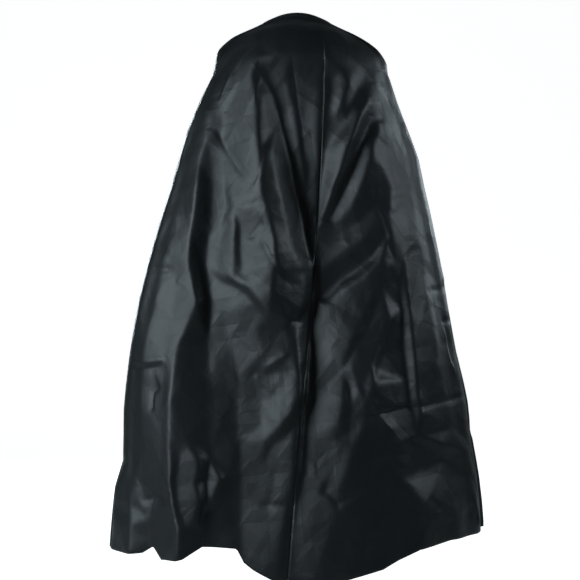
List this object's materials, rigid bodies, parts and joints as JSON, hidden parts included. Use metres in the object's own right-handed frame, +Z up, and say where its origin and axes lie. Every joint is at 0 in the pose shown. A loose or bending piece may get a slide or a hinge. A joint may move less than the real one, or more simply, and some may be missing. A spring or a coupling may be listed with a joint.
{
  "type": "superhero cape",
  "caption": "Full-length black satin costume cape with a centre back seam, a bound neckline and a tab that closes it at the throat with hook and loop tape.",
  "frame": {"origin": "middle of the neckline, level with its back edge", "axes": "+Z up, +Y the way the wearer faces, +X the wearer's right"},
  "size_m": [0.9408, 0.4141, 1.3421],
  "materials": {
    "satin": "thin black satin, soft sheen",
    "binding_satin": "folded black satin, soft sheen",
    "thread": "spun black polyester thread",
    "hook_nylon": "moulded nylon hooks on woven tape",
    "loop_pile": "napped nylon loops on woven tape",
    "label_ribbon": "plain woven ribbon, blank"
  },
  "bodies": {
    "cape": {"left_panel": "satin", "right_panel": "satin", "neck_binding": "binding_satin", "loop_tape": "loop_pile", "centre_seam_thread": "thread", "left_hem_thread": "thread", "right_hem_thread": "thread", "left_edge_thread": "thread", "right_edge_thread": "thread", "binding_thread": "thread"},
    "closing_tab": {"closing_tab": "binding_satin", "hook_tape": "hook_nylon", "tab_root_thread": "thread"},
    "size_label": {"size_label": "label_ribbon"}
  },
  "joints": [
    {"name": "tab_hinge", "type": "hinge", "parent": "cape", "child": "closing_tab", "pos_m": [0.0449, 0.0756, -0.0754], "axis": [0.314, 0.628, -0.712], "range_deg": [0, 110]},
    {"name": "label_hinge", "type": "hinge", "parent": "cape", "child": "size_label", "pos_m": [0, -0.06852, -0.01013], "axis": [1, 0, 0], "range_deg": [-40, 80]}
  ]
}
